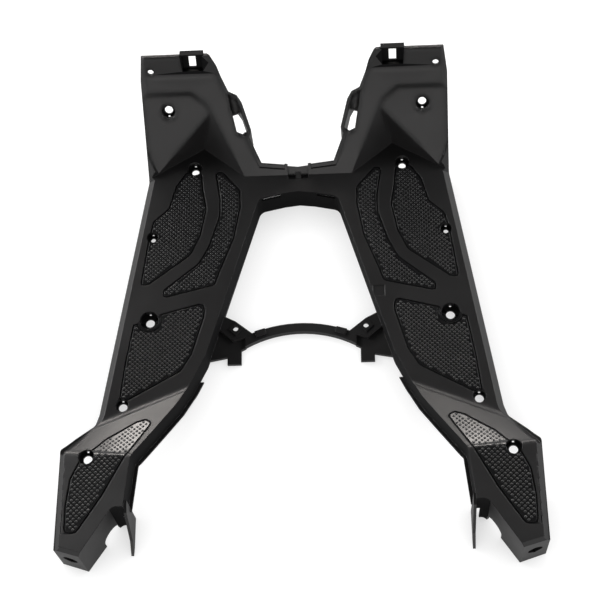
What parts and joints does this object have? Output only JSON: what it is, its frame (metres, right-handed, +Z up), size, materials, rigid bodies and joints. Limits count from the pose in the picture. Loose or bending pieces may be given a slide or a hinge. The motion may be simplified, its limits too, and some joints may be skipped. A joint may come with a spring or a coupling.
{
  "type": "scooter floorboard",
  "caption": "Black plastic scooter floorboard with a foot plank on each side of an open tunnel, raised toe shields in front and grip-textured passenger footrests at the rear",
  "frame": {"origin": "middle of the part's box, on the plane that the lower edges of the walls stand on", "axes": "+Y to the front of the scooter, +X to the right of the rider, +Z up"},
  "size_m": [0.507, 0.5436, 0.1545],
  "materials": {
    "black_plastic": "satin moulded black polypropylene with a fine grain"
  },
  "bodies": {
    "root": {"floorboard": "black_plastic"}
  },
  "joints": []
}
